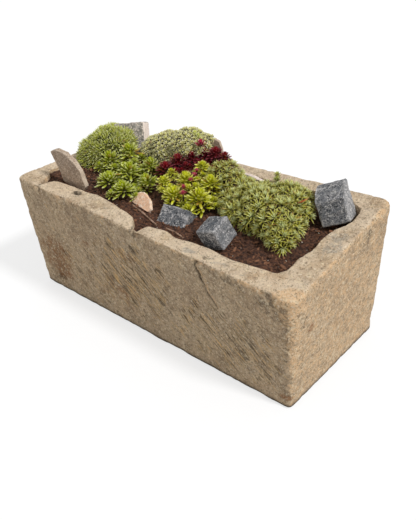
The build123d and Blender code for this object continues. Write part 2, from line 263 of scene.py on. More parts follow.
ring_of, column_of = np.divmod(np.arange(len(block)), column_total)


def near_path(points, path):
    """The distance of each point from a path of straight runs."""
    nearest = np.full(len(points), np.inf)
    for start, end in zip(path[:-1], path[1:]):
        run = end - start
        share = np.clip((points - start) @ run / (run @ run), 0, 1)[:, None]
        nearest = np.minimum(nearest, np.linalg.norm(points - start - share * run, axis=1))
    return nearest


def spot(points, middle, radii, ragged=0.35):
    """One well inside a ragged patch and zero well outside. Its middle and radii are in mm."""
    zero_at, fades_over = 1.4, 0.8
    reach = np.linalg.norm((points - np.array(middle) * mm) / (np.array(radii) * mm), axis=1)
    reach += ragged * rough_noise(points, 22 * mm, 3, seed=61)
    return np.clip(zero_at - reach, 0, fades_over) / fades_over


# Wear: hollows, slanting strokes of the point, pits, ragged arrises, cracks and a lost chip.
# The strokes run down to the right, and are drawn out along their way and into the block.
stroke_angle, stroke_stretch, inward_stretch = math.radians(41), 6, 2
across_strokes = block[:, 0] * math.sin(stroke_angle) + block[:, 2] * math.cos(stroke_angle)
along_strokes = block[:, 0] * math.cos(stroke_angle) - block[:, 2] * math.sin(stroke_angle)
stroke_place = np.stack([across_strokes, along_strokes / stroke_stretch, block[:, 1] / inward_stretch], 1)
main_crack = np.array([
    (214, -213, 343), (206, -213, 330), (217, -213, 312), (221, -212, 298), (234, -210, 280),
    (241, -210, 262), (256, -209, 246), (268, -208, 226),
]) * mm
faint_crack = np.array([
    (-12, -213, 350), (-28, -212, 340), (-37, -211, 334), (-43, -210, 286), (-36, -208, 241),
    (-24, -206, 177), (-22, -204, 120),
]) * mm
corner_crack = np.array([(-396, -150, 362), (-404, -180, 364), (-402, -201, 366), (-396, -214, 352)]) * mm
main_gap, faint_gap, corner_gap = (
    fade(near_path(block, crack), half_width * mm)
    for crack, half_width in ((main_crack, 2.8), (faint_crack, 3.0), (corner_crack, 3.5))
)
# In mm: what is worn off all over, then how deep each kind of wear goes into the block
all_over, least_loss, hollow_depth, stroke_depth, pit_depth = 1.3, 0.2, 1.4, 1.5, 3.6
main_crack_depth, faint_crack_depth, corner_crack_depth = 4, 1.8, 3.5
arris_chip_depth, foot_chip_depth, lost_chip_depth = 7.5, 3.5, 10
lost_chip = ((-395, -206, 47), (24, 40, 13))
on_top = np.clip(outward[:, 2], 0, 1)
pits = np.clip(smooth_noise(block, 11 * mm, seed=23) - 0.45, 0, 1)
ragged_edge = np.clip(rough_noise(block, 24 * mm, 3, seed=31) - 0.1, 0, 1.2)
at_arris = fade(ring_of - arris_ring, 4)
at_foot = fade(ring_of - first_rough, 2.5)
strokes = rough_noise(stroke_place, 13 * mm, 2, seed=7) * (1 - on_top)
loss = all_over + hollow_depth * smooth_noise(block, 130 * mm, seed=11)
loss += rough_noise(block, 34 * mm, 3, seed=5)
loss += stroke_depth * strokes + pit_depth * pits
loss += at_arris * (arris_chip_depth * ragged_edge + 1) + foot_chip_depth * at_foot * ragged_edge
loss += lost_chip_depth * spot(block, *lost_chip, ragged=0.15)
loss += main_crack_depth * main_gap + faint_crack_depth * faint_gap + corner_crack_depth * corner_gap
loss *= 1 - 0.6 * at_foot
is_rough = (ring_of >= first_rough - 2) & (ring_of < last_rough)
block = block - outward * (np.maximum(loss, least_loss) * is_rough * mm)[:, None]

# The old dowel hole in the front rim, whose mouth is worn to an oval
dowel_middle = np.array((-276, -168)) * mm
dowel_radius, dowel_depth, dowel_shade, dowel_oval = 8 * mm, 25 * mm, 10 * mm, (1.6, 1)
dowel_reach = np.linalg.norm((block[:, :2] - dowel_middle) / dowel_oval, axis=1)
in_dowel = (dowel_reach < dowel_radius) & (on_top > 0.5)
block[in_dowel, 2] -= dowel_depth
block = np.clip(block, cad_low, cad_high)

# Weathering and painted light, as shares at each point: rubbed arrises with painted sunlight and
# highlights, dark stain with some painted shade, rust, grey lichen, marks of the point with their
# painted light and shade, bleached tops, and painted shade in the gaps. Each patch: its middle and
# radii in mm, and how strong it is.
# Rubbed patches; the one over the lost chip is a painted highlight on the ledge above its hollow
rubbed_spots = [
    ((488, -200, 325), (50, 50, 60), 1), ((492, -200, 180), (26, 26, 170), 0.8),
    ((214, -215, 345), (16, 16, 14), 0.8), ((-400, -206, 68), (26, 30, 6), 0.9),
    ((-60, -212, 240), (60, 20, 40), 0.4), ((-250, -212, 150), (120, 20, 60), 0.35),
]
# Dark patches are stains, but the one in the lost chip's hollow is painted shade
dark_spots = [
    ((440, -213, 305), (60, 30, 40), 0.6), ((294, -213, 328), (70, 20, 12), 0.6),
    ((476, -213, 200), (14, 20, 120), 0.6), ((-460, -7, 359), (9, 9, 9), 1),
    ((225, -191, 350), (14, 10, 12), 0.9), ((-445, -120, 360), (26, 26, 12), 0.6),
    ((346, -212, 112), (26, 20, 20), 0.9), ((495, 98, 350), (24, 24, 26), 0.7),
    ((-12, -205, 340), (20, 12, 14), 0.8), ((-395, -206, 42), (22, 40, 10), 1),
    ((495, -162, 250), (12, 22, 30), 0.6),
]
rust_spots = [
    ((-373, -212, 147), (34, 30, 26), 1), ((-375, -212, 115), (70, 30, 80), 0.85),
    ((-222, -212, 228), (20, 20, 14), 0.7), ((-51, -212, 253), (40, 20, 26), 0.6),
    ((467, -210, 36), (26, 26, 10), 1), ((-120, -212, 110), (120, 20, 60), 0.45),
    ((495, -132, 221), (14, 16, 14), 0.9), ((-395, -206, 50), (34, 30, 14), 1),
]
grey_spots = [
    ((174, -195, 355), (26, 14, 12), 0.9), ((300, -190, 350), (90, 16, 20), 0.5),
    ((-180, -180, 362), (120, 20, 20), 0.45), ((462, 0, 372), (26, 90, 20), 0.7),
    ((-470, 40, 355), (20, 80, 20), 0.5), ((-380, -180, 366), (50, 25, 20), 0.4),
]
tooled_spots = [
    ((-40, -212, 190), (210, 30, 150), 1), ((300, -212, 130), (260, 30, 130), 0.95),
    ((-220, -212, 120), (200, 30, 120), 0.9),
]
rubbed, dark, rust, grey, tooled = (
    np.max([share * spot(block, middle, radii) for middle, radii, share in spots], axis=0)
    for spots in (rubbed_spots, dark_spots, rust_spots, grey_spots, tooled_spots)
)
# Arrises are rubbed more towards the right. The side facing the sun is painted paler all over as
# painted sunlight, and the crack's right edge gets a painted highlight. The point marked every side
# but the top, which the sun bleaches; its strokes carry painted light and shade. Painted shade
# darkens the cracks, the foot's underside edge as a painted contact shadow, and the dowel hole.
arris_rubbed = np.clip(0.55 + 0.9 * block[:, 0], 0.3, 0.95) + 0.6 * rough_noise(block, 30 * mm, 3, seed=41)
rubbed = np.maximum(rubbed, np.clip(0.8 * at_arris * arris_rubbed, 0, 1))
rubbed = np.maximum(rubbed, 0.6 * np.clip(outward[:, 0], 0, 1))
crack_highlight_line = main_crack + np.array((7, 0, 3)) * mm
rubbed = np.maximum(rubbed, fade(near_path(block, crack_highlight_line), 5 * mm))
tooled_sides = np.maximum(tooled, 0.78 - 0.35 * (outward[:, 0] > 0.5))
tooled = np.where(on_top > 0.3, 0.1, tooled_sides)
bleached = on_top * np.clip(0.8 + 0.5 * rough_noise(block, 60 * mm, 3, seed=83), 0, 1)
# Painted shade in the cracks, a painted contact shadow at the foot, and painted shade in the dowel hole
gap = 1.1 * main_gap + 0.45 * faint_gap + 0.9 * corner_gap + 0.85 * fade(ring_of - first_rough, 1.7)
gap = np.clip(gap + fade(dowel_reach, dowel_shade, power=8), 0, 1)
next_ring, next_column = (ring_of + 1) % len(rings), (column_of + 1) % column_total
block_faces = np.stack([
    ring_of * column_total + column_of, ring_of * column_total + next_column,
    next_ring * column_total + next_column, next_ring * column_total + column_of,
], 1)

# Weathered sandstone: quartz grains in an ochre cement, matt and porous, grey-brown where the
# weather darkens it and ochre where the arrises rub. It scatters light and hardly shines. Its
# real grains are under 1 mm, too fine to show, so the speckles are drawn at 4 to 10 mm.
sandstone, tree = empty_material("weathered_sandstone")
place = add(tree, "ShaderNodeTexCoord").outputs["Object"]
along_tool = add(tree, "ShaderNodeMapping", {
    "Vector": place, "Rotation": (0, stroke_angle, 0), "Scale": (80 * mm, 40 * mm, 6.5 * mm),
}, vector_type="TEXTURE").outputs["Vector"]
colour = add(tree, "ShaderNodeRGB").outputs[0]
colour.default_value = linear("#C6AB8B")
# Each layer: the value it needs, where it lies, its size in mm and detail, the noise where it
# starts and is full, its most, and its colour. The less of its value, the less noise it gets.
# Along the tool, 1000 is the size of a stroke 80 mm long and 6.5 mm wide.
less_noise = -0.44
for value_name, coordinates, size, detail, start, full, most, layer_hex in (
    (None, place, 170, 4, 0.40, 0.70, 1, "#CBB496"),
    (None, place, 95, 5, 0.48, 0.70, 1, "#A68E74"),
    (None, place, 30, 6, 0.50, 0.66, 0.8, "#9A856D"),
    (None, place, 22, 6, 0.54, 0.68, 0.8, "#E2C9A4"),
    ("bleached", place, 40, 6, 0.20, 0.50, 0.7, "#E4D0B6"),
    ("grey", place, 14, 8, 0.28, 0.42, 0.7, "#A39C90"),
    # Rubbed arrises, painted sunlight on the sunward side and painted highlights by the crack and chip
    ("rubbed", place, 16, 8, 0.26, 0.44, 0.75, "#E2BC90"),
    # Dark stains, and painted shade in the lost chip's hollow
    ("dark", place, 15, 8, 0.28, 0.42, 0.75, "#645848"),
    ("rust", place, 24, 8, 0.16, 0.44, 0.75, "#8C5A30"),
    # Strokes of the point: the pale ones are painted highlights, the dark ones painted shade in grooves
    ("tooled", along_tool, 1400, 4, 0.46, 0.62, 0.8, "#D2B78E"),
    ("tooled", along_tool, 1000, 4, 0.50, 0.64, 0.7, "#79664F"),
    (None, place, 10, 4, 0.53, 0.66, 0.65, "#7F6C56"),
    (None, place, 8, 4, 0.53, 0.64, 0.8, "#E6D2B0"),
    (None, place, 5, 3, 0.56, 0.66, 0.8, "#EADBC2"),
    (None, place, 4, 3, 0.55, 0.63, 0.75, "#756450"),
    # Finer strokes: a painted highlight, then painted shade in the grooves
    ("tooled", along_tool, 640, 3, 0.53, 0.60, 0.9, "#E4BC84"),
    ("tooled", along_tool, 600, 3, 0.54, 0.62, 0.75, "#524532"),
):
    noise = add(tree, "ShaderNodeTexNoise", {
        "Vector": coordinates, "W": size + start, "Scale": 1 / (size * mm), "Detail": detail,
        "Roughness": 0.65,
    }, noise_dimensions="4D").outputs["Fac"]
    if value_name:
        value = add(tree, "ShaderNodeAttribute", attribute_name=value_name).outputs["Fac"]
        missing = add(tree, "ShaderNodeMath", {0: 1, 1: value}, operation="SUBTRACT").outputs[0]
        noise = add(tree, "ShaderNodeMath", {
            0: missing, 1: less_noise, 2: noise,
        }, operation="MULTIPLY_ADD").outputs[0]
    groove = add(tree, "ShaderNodeMapRange", {0: noise, 1: start, 2: full, 4: most}).outputs[0]
    colour = add(tree, "ShaderNodeMix", {
        0: groove, 6: colour, 7: linear(layer_hex),
    }, data_type="RGBA").outputs[2]
# Painted shade, near black, in the cracks, the dowel hole and along the foot
gap_share = add(tree, "ShaderNodeAttribute", attribute_name="gap").outputs["Fac"]
colour = add(tree, "ShaderNodeMix", {
    0: gap_share, 6: colour, 7: linear("#1E1812"),
}, data_type="RGBA").outputs[2]
# The last layer's dark strokes are painted shade in grooves, which the bump sinks into the grainy face
grain = add(tree, "ShaderNodeTexNoise", {
    "Vector": place, "Scale": 1 / (9 * mm), "Detail": 6, "Roughness": 0.7,
}).outputs["Fac"]
relief = add(tree, "ShaderNodeMath", {0: groove, 1: -0.5, 2: grain}, operation="MULTIPLY_ADD").outputs[0]
bump = add(tree, "ShaderNodeBump", {"Height": relief, "Distance": 4.5 * mm, "Strength": 1})
shader = add(tree, "ShaderNodeBsdfPrincipled", {
    "Base Color": colour, "Roughness": 0.93, "Specular IOR Level": 0.2, "Normal": bump.outputs["Normal"],
})
add(tree, "ShaderNodeOutputMaterial", {"Surface": shader.outputs[0]})
make_piece(
    "hewn_trough", block, block_faces.tolist(), sandstone, "sandstone", ["trough"],
    rubbed=rubbed, dark=dark, rust=rust, grey=grey, tooled=tooled, bleached=bleached, gap=gap,
)

# The drain crock is a piece of a broken flowerpot, arched over the drain hole, and the drainage
# gravel lies round it on the hollow's floor. Both lie loose, out of sight under the compost. The
# fired clay is matt and orange-brown, and the washed gravel grey in two shades.
for node_name, finish_name, hex_colours, grain_size in (
    ("drain_crock", "fired_terracotta", ("#9C5637", "#BD7A55"), 14),
    ("drainage_gravel", "washed_gravel", ("#6E6860", "#A49C90"), 9),
):
    finish, tree = empty_material(finish_name)
    place = add(tree, "ShaderNodeTexCoord").outputs["Object"]
    noise = add(tree, "ShaderNodeTexNoise", {"Vector": place, "Scale": 1 / (grain_size * mm), "Detail": 4})
    under, over = map(linear, hex_colours)
    colour = add(tree, "ShaderNodeMix", {0: noise.outputs["Fac"], 6: under, 7: over}, data_type="RGBA")
    bump = add(tree, "ShaderNodeBump", {"Height": noise.outputs["Fac"], "Distance": 2 * mm})
    shader = add(tree, "ShaderNodeBsdfPrincipled", {
        "Base Color": colour.outputs[2], "Roughness": 0.9, "Normal": bump.outputs["Normal"],
    })
    add(tree, "ShaderNodeOutputMaterial", {"Surface": shader.outputs[0]})
    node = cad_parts[node_name]
    node.data.materials.clear()
    node.data.materials.append(finish)

# The compost: dark bark compost filled loose to below the rim, lower at the right and mounded in
# the middle, with chips of bark strewn on top. It fills the worn notch.
bed_columns, bed_rows = 240, 90
chip_count = 3600
random = np.random.default_rng(5)
# In mm: the bed's middle and height there, its fall over its length and its rise over its width,
# and the line along which the mouth's two ends are read, from the front level
bed_middle = (-15, 7, 345)
bed_fall, bed_length, bed_rise, bed_width = 22, 866, 12, 320
front_level, end_length = -150, 310
mound_x, mound_y, mound_radius, mound_height = -45 * mm, 62 * mm, 125 * mm, 42 * mm
# How far the bed is tucked past the mouth's edge, how far above the hollow's floor it ends, and
# how it narrows there
bed_tuck, above_floor, bed_narrowing = 3 * mm, 45 * mm, 0.97


def bed_plane(x, y):
    """The height of the compost where it isn't mounded. It falls to the right and rises to the back."""
    fall = bed_fall * (x / mm - bed_middle[0]) / bed_length
    rise = bed_rise * (y / mm - bed_middle[1]) / bed_width
    return (bed_middle[2] - fall + rise) * mm


def bed_height(x, y):
    """The height of the compost's top, with its mound."""
    reach = np.hypot(x - mound_x, y - mound_y) / mound_radius
    return bed_plane(x, y) + mound_height * np.clip(1 - reach**2, 0, 1)


def into_mouth(u, v, tuck):
    """Places by shares of the mouth's length and width, tucked past its edge by a distance."""
    front, right, back, left = mouth_sides
    y_level = (front_level + end_length * v) * mm
    left_x = np.interp(y_level, left[::-1, 1], left[::-1, 0]) - tuck
    right_x = np.interp(y_level, right[:, 1], right[:, 0]) + tuck
    x = left_x + u * (right_x - left_x)
    front_y = np.interp(x, front[:, 0], front[:, 1]) - tuck
    back_y = np.interp(x, back[::-1, 0], back[::-1, 1]) + tuck
    return x, front_y + v * (back_y - front_y)


# The bed is a closed skin: a top of clods and crumbs, a floor in the hollow, and a skirt between
u, v = map(np.ravel, np.meshgrid(np.linspace(0, 1, bed_columns), np.linspace(0, 1, bed_rows)))
bed_x, bed_y = into_mouth(u, v, bed_tuck)
bed_top = np.stack([bed_x, bed_y, bed_height(bed_x, bed_y)], 1)
clods, lumps = rough_noise(bed_top, 30 * mm, 3, seed=3), smooth_noise(bed_top, 8 * mm, seed=9)
bed_top[:, 2] += (2.6 * clods + 2.2 * lumps) * mm
low_corners = floor_corners * (bed_narrowing, bed_narrowing, 1) + (0, 0, above_floor)
low_front = low_corners[0] + u[:, None] * (low_corners[1] - low_corners[0])
low_back = low_corners[3] + u[:, None] * (low_corners[2] - low_corners[3])
bed_low = low_front + v[:, None] * (low_back - low_front)
top_count = bed_columns * bed_rows
cell = (np.arange(bed_rows - 1)[:, None] * bed_columns + np.arange(bed_columns - 1)).ravel()
top_faces = np.stack([cell, cell + 1, cell + bed_columns + 1, cell + bed_columns], 1)
edge_loop = np.concatenate([
    np.arange(bed_columns), np.arange(1, bed_rows) * bed_columns + bed_columns - 1,
    np.arange(bed_columns - 2, -1, -1) + (bed_rows - 1) * bed_columns,
    np.arange(bed_rows - 2, 0, -1) * bed_columns,
])
next_edge = np.roll(edge_loop, -1)
skirt_faces = np.stack([edge_loop, edge_loop + top_count, next_edge + top_count, next_edge], 1)
bed_faces = np.concatenate([top_faces, top_faces[:, ::-1] + top_count, skirt_faces]).tolist()


def turns(angles, first, second):
    """Matrices that turn the first axis towards the second, one for each angle."""
    stack = np.tile(np.eye(4), (len(angles), 1, 1))
    stack[:, first, first] = stack[:, second, second] = np.cos(angles)
    stack[:, second, first] = np.sin(angles)
    stack[:, first, second] = -np.sin(angles)
    return stack


def moves(offsets):
    """Matrices that move by each offset."""
    stack = np.tile(np.eye(4), (len(offsets), 1, 1))
    stack[:, :3, 3] = offsets
    return stack


def stretches(sizes):
    """Matrices that stretch by each set of three sizes."""
    stack = np.tile(np.eye(4), (len(sizes), 1, 1))
    for axis in range(3):
        stack[:, axis, axis] = sizes[:, axis]
    return stack


def copies(points, faces, transforms):
    """The points and faces of one shape, set down once for each transform."""
    set_down = np.einsum("nij,pj->npi", transforms[:, :3, :3], points) + transforms[:, None, :3, 3]
    starts = (len(points) * np.arange(len(transforms))).tolist()
    return set_down.reshape(-1, 3), shifted(faces, starts)


def shifted(faces, starts):
    """The faces, once for each start that their corners count from."""
    return [[start + corner for corner in face] for start in starts for face in faces]


chip_points = np.array([
    (-0.5, -0.16, -0.07), (-0.1, -0.27, -0.10), (0.5, -0.12, -0.05),
    (-0.42, 0.20, -0.06), (0.05, 0.25, -0.09), (0.44, 0.16, -0.07),
    (-0.5, -0.13, 0.06), (-0.1, -0.24, 0.11), (0.5, -0.10, 0.08),
    (-0.40, 0.18, 0.09), (0.05, 0.22, 0.12), (0.42, 0.14, 0.05),
])
chip_faces = [
    [0, 3, 4, 1], [1, 4, 5, 2], [6, 7, 10, 9], [7, 8, 11, 10], [0, 1, 7, 6],
    [1, 2, 8, 7], [5, 4, 10, 11], [4, 3, 9, 10], [3, 0, 6, 9], [2, 5, 11, 8],
]
# The chips are 3.5 to 22 mm long, mostly small, and vary in width and thickness. Each lies a
# tenth of its length up, turned any way and tipped a little. Some of the smallest are pale grit.
shortest, longest, grit_below, grit_share = 3.5, 22, 4.5 * mm, 0.12
chip_x, chip_y = into_mouth(*random.uniform(0.01, 0.99, (2, chip_count)), 0)
chip_size = random.gamma(3, 2.2, chip_count).clip(shortest, longest) * mm
chip_place = np.stack([chip_x, chip_y, bed_height(chip_x, chip_y) + 0.10 * chip_size], 1)
chip_pose = moves(chip_place) @ turns(random.uniform(0, 2 * np.pi, chip_count), 0, 1)
chip_pose = chip_pose @ turns(random.normal(0, 0.35, chip_count), 0, 2)
chip_pose = chip_pose @ turns(random.normal(0, 0.5, chip_count), 1, 2)
chip_sizes = chip_size[:, None] * random.uniform((1, 0.6, 0.6), (1.01, 1.1, 1.3), (chip_count, 3))
chips, strewn_faces = copies(chip_points, chip_faces, chip_pose @ stretches(chip_sizes))
soil_points = np.concatenate([bed_top, bed_low, chips])
soil_faces = bed_faces + shifted(strewn_faces, [2 * top_count])
is_grit = (chip_size < grit_below) & (random.uniform(0, 1, chip_count) < grit_share)
grit_tone = 2
chip_tone = np.where(is_grit, grit_tone, random.uniform(0.1, 1, chip_count) ** 2)

# Damp bark compost: crumbled bark, dark and matt where it is wet, with red-brown chips that dry
# paler on top. Its tone is zero for the bed, up to one for a dry chip, and two for grit.
compost, tree = empty_material("damp_bark_compost")
place = add(tree, "ShaderNodeTexCoord").outputs["Object"]
tone = add(tree, "ShaderNodeAttribute", attribute_name="tone").outputs["Fac"]
crumbs = add(tree, "ShaderNodeTexNoise", {
    "Vector": place, "Scale": 1 / (7 * mm), "Detail": 6, "Roughness": 0.75,
}).outputs["Fac"]
share = add(tree, "ShaderNodeMapRange", {0: crumbs, 1: 0.42, 2: 0.74}).outputs[0]
colour = add(tree, "ShaderNodeMix", {
    0: share, 6: linear("#26130A"), 7: linear("#86583E"),
}, data_type="RGBA").outputs[2]
for start, full, layer_hex in ((0, 1, "#96684A"), (1.4, 1.6, "#D8CCBC")):
    share = add(tree, "ShaderNodeMapRange", {0: tone, 1: start, 2: full}).outputs[0]
    colour = add(tree, "ShaderNodeMix", {
        0: share, 6: colour, 7: linear(layer_hex),
    }, data_type="RGBA").outputs[2]
bump = add(tree, "ShaderNodeBump", {"Height": crumbs, "Distance": 4 * mm})
shader = add(tree, "ShaderNodeBsdfPrincipled", {
    "Base Color": colour, "Roughness": 0.9, "Normal": bump.outputs["Normal"],
})
add(tree, "ShaderNodeOutputMaterial", {"Surface": shader.outputs[0]})
make_piece(
    "bark_compost", soil_points, soil_faces, compost, "compost", ["soil"], smooth=False,
    tone=np.r_[np.zeros(2 * top_count), np.repeat(chip_tone, len(chip_points))],
)

# The stones: four granite setts, split square and bedded askew, and thin slabs, a chip and two
# slates set on edge. Their faces are split, not sawn, and their edges broken. Each is bedded in
# the compost by its lower part. The granite is grey with dark mica and pale feldspar flecks of
# 3 to 6 mm, the slabs are fine-grained, and all are matt.
stone_finishes = {
    # Body, light patches, dark flecks, pale flecks and veins, and the size of the flecks in mm
    "grey_granite": ("#63666A", "#7E7E80", "#35373B", "#C9C6C4", 4.0),
    "light_grey_granite": ("#75777B", "#908F91", "#3E4044", "#DAD7D4", 4.0),
    "weathered_granite": ("#86847E", "#A09B92", "#4E4C49", "#F4E4D8", 4.0),
    "grey_brown_stone": ("#AE9884", "#C4AF9A", "#7C6A5A", "#DECDB8", 3.0),
    "pinkish_tan_stone": ("#FACCA8", "#FBDEC4", "#D8AE8E", "#FFF0DE", 4.0),
    "pale_pink_stone": ("#E2CEC2", "#EEE0D8", "#BCA698", "#F8F0EA", 4.0),
    "brown_slate": ("#5E4434", "#85684F", "#3A2A20", "#C2A08A", 3.0),
}
stone_materials = {}
for finish_name, (body_hex, light_hex, dark_hex, pale_hex, fleck) in stone_finishes.items():
    stone_materials[finish_name], tree = empty_material(finish_name)
    place = add(tree, "ShaderNodeTexCoord").outputs["Object"]
    colour = add(tree, "ShaderNodeRGB").outputs[0]
    colour.default_value = linear(body_hex)
    # Each layer: its colour, the size of its patches or veins in mm, the noise that it gathers
    # round, and how far from that it starts and is full
    for layer_hex, size, centre, start, full in (
        (light_hex, 26, 0, 0.45, 0.62),
        (dark_hex, fleck, 0, 0.52, 0.60),
        (pale_hex, 1.5 * fleck, 0, 0.57, 0.66),
        (pale_hex, 6 * fleck, 0.5, 0.014, 0.003),
        (dark_hex, 0.7 * fleck, 0, 0.56, 0.64),
    ):
        noise = add(tree, "ShaderNodeTexNoise", {
            "Vector": place, "W": size, "Scale": 1 / (size * mm), "Detail": 3, "Roughness": 0.6,
        }, noise_dimensions="4D").outputs["Fac"]
        away = add(tree, "ShaderNodeMath", {0: noise, 1: centre}, operation="SUBTRACT").outputs[0]
        away = add(tree, "ShaderNodeMath", {0: away}, operation="ABSOLUTE").outputs[0]
        share = add(tree, "ShaderNodeMapRange", {0: away, 1: start, 2: full}).outputs[0]
        colour = add(tree, "ShaderNodeMix", {
            0: share, 6: colour, 7: linear(layer_hex),
        }, data_type="RGBA").outputs[2]
    pale = add(tree, "ShaderNodeAttribute", attribute_name="pale").outputs["Fac"]
    colour = add(tree, "ShaderNodeMix", {
        0: pale, 6: colour, 7: linear(pale_hex),
    }, data_type="RGBA").outputs[2]
    bump = add(tree, "ShaderNodeBump", {"Height": noise, "Distance": 1.5 * mm})
    shader = add(tree, "ShaderNodeBsdfPrincipled", {
        "Base Color": colour, "Roughness": 0.85, "Specular IOR Level": 0.3, "Normal": bump.outputs["Normal"],
    })
    add(tree, "ShaderNodeOutputMaterial", {"Surface": shader.outputs[0]})


def split_stone(node_name, finish_name, slot, cell_size, roughness, lit_side_paleness, flaws):
    """A stone of the node's form, rough with split faces, and planed off at each flaw."""
    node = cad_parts[node_name]
    form = bpy.data.objects.new(node_name + "_form", node.data.copy())
    form.matrix_world = node.matrix_world
    bpy.context.scene.collection.objects.link(form)
    remesh = form.modifiers.new("even", "REMESH")
    remesh.mode = "VOXEL"
    remesh.voxel_size = cell_size
    bpy.context.view_layer.update()
    even = form.evaluated_get(bpy.context.evaluated_depsgraph_get())
    mesh = even.to_mesh()
    matrix = np.array(node.matrix_world)
    points = np.array([vertex.co for vertex in mesh.vertices]) @ matrix[:3, :3].T + matrix[:3, 3]
    outs = np.array([vertex.normal for vertex in mesh.vertices]) @ matrix[:3, :3].T
    face_outs = np.array([face.normal for face in mesh.polygons]) @ matrix[:3, :3].T
    faces = [list(face.vertices) for face in mesh.polygons]
    even.to_mesh_clear()
    bpy.data.objects.remove(form)
    # An edge runs where the faces round a point look different ways, and spreads to the next points
    faces_at = np.zeros((len(points), 3))
    counts = np.zeros(len(points))
    for face, face_out in zip(faces, face_outs):
        faces_at[face] += face_out
        counts[face] += 1
    surely_sharp, next_to_edge = 0.05, 0.8
    sharp = np.clip((1 - np.linalg.norm(faces_at, axis=1) / counts) / surely_sharp, 0, 1)
    edge = sharp.copy()
    for face in faces:
        edge[face] = np.maximum(edge[face], next_to_edge * sharp[face].max())
    for flaw_place, flaw_out in flaws:
        flaw_out = np.array(flaw_out) / np.linalg.norm(flaw_out)
        beyond = (points - np.array(flaw_place) * mm) @ flaw_out
        beyond += 1.5 * mm * rough_noise(points, 18 * mm, 2, seed=3)
        points = points - np.maximum(beyond, 0)[:, None] * flaw_out
    # Split faces go up and down by shares of the roughness. Worn edges are paler, and the side
    # facing the sun is painted paler as painted sunlight.
    split = 0.8 + 0.8 * rough_noise(points, 24 * mm, 3, seed=13)
    split += 0.5 * smooth_noise(points, 7 * mm, seed=17)
    points_worn = np.clip(rough_noise(points, 16 * mm, 2, seed=19) + 0.5, 0, 1)
    points = points - outs * (np.maximum(split, 0.1) * roughness)[:, None]
    side = lit_side_paleness * np.clip(3 * outs[:, 0] - 1.4, 0, 1)
    pale = np.clip(np.maximum(0.75 * edge * points_worn, side), 0, 1)
    material = stone_materials[finish_name]
    make_piece(node_name + "_stone", points, faces, material, slot, [node_name], pale=pale)


# Each stone: its finish and slot, the size of its mesh and of its roughness in mm, how pale
# painted sunlight makes the side towards +X, which faces the sun, and its flaws
for node_name, finish_name, slot, cell_size, roughness, lit_side_paleness, flaws in (
    ("sett_back", "weathered_granite", "granite", 2.2, 1.6, 0.9, ()),
    ("sett_middle", "grey_granite", "granite", 2.2, 1.6, 0, ()),
    ("sett_front", "grey_granite", "granite", 2.0, 1.3, 0.12, ()),
    ("sett_right", "light_grey_granite", "granite", 2.2, 1.6, 0.2, [((353, 85, 405), (-0.16, -0.59, 0.79))]),
    ("slab_upright", "grey_brown_stone", "grey_slab", 2.0, 1.4, 0.4, ()),
    ("slab_back", "grey_brown_stone", "grey_slab", 2.0, 1.2, 0.4, ()),
    ("slab_pale", "pale_pink_stone", "pale_slab", 2.0, 1.2, 0.3, ()),
    ("chip_tan", "pinkish_tan_stone", "pale_slab", 1.8, 1.0, 0.3, ()),
    ("slate_left", "brown_slate", "slate", 1.4, 0.5, 0, ()),
    ("slate_right", "brown_slate", "slate", 1.4, 0.5, 0, ()),
):
    split_stone(node_name, finish_name, slot, cell_size * mm, roughness * mm, lit_side_paleness, flaws)

# The houseleeks: green, dark red and yellow-green kinds. Each is a rosette of thick, smooth,
# pointed leaves that spiral in to a closed heart, rooted in the compost by a short stem.
golden_angle = math.pi * (3 - math.sqrt(5))


def leaf_shape(stations, half_widths, thickness, bend, sides):
    """A closed leaf along X, flatter above than below, whose tip bends up. Its length is one."""
    flat_above, raised_edge = 0.35, 0.25
    angles = np.linspace(0, 2 * np.pi, sides, endpoint=False)
    level = np.where(np.sin(angles) > 0, flat_above, 1) * np.sin(angles) * thickness
    level += raised_edge * np.cos(angles) ** 2
    points = [
        np.stack([np.full(sides, s), w * np.cos(angles), w * level + bend * s**2], 1)
        for s, w in zip(stations, half_widths)
    ]
    last = (len(stations) - 1) * sides
    faces = [
        [n + s, n + (s + 1) % sides, n + sides + (s + 1) % sides, n + sides + s]
        for n in range(0, last, sides) for s in range(sides)
    ]
    faces += [list(range(sides - 1, -1, -1)), list(range(last, last + sides))]
    return np.concatenate(points), faces


def rosette_leaves(count, start, tilts, lengths, widths, lift):
    """Transforms of a rosette's leaves, for a rosette of radius one. Pairs run outer to heart."""
    rising_early = 0.7
    rank = (np.arange(count) + 0.5) / count
    tilt, length, width = (
        ends[0] + (ends[1] - ends[0]) * rank**power
        for ends, power in ((np.radians(tilts), rising_early), (lengths, 1), (widths, 1))
    )
    offset = np.stack([start * (1 - rank), 0 * rank, lift[0] + (lift[1] - lift[0]) * rank], 1)
    spiral = turns(np.arange(count) * golden_angle, 0, 1)
    leaf = moves(offset) @ turns(tilt, 0, 2) @ stretches(np.stack([length, width, width], 1))
    return spiral @ leaf, rank


def ball(middle, radii, rings=9, columns=18):
    """A closed ball with its middle and its three radii, and a small flat at each pole."""
    flat = 0.1
    tilts = np.linspace(flat, math.pi - flat, rings)[:, None]
    angles = np.arange(columns) * 2 * math.pi / columns
    level = np.cos(tilts) + 0 * angles
    points = np.stack([np.sin(tilts) * np.cos(angles), np.sin(tilts) * np.sin(angles), level], -1)
    last = (rings - 1) * columns
    faces = [
        [n + c, n + columns + c, n + columns + (c + 1) % columns, n + (c + 1) % columns]
        for n in range(0, last, columns) for c in range(columns)
    ]
    faces += [list(range(columns)), list(range(last + columns - 1, last - 1, -1))]
    return points.reshape(-1, 3) * radii + middle, faces


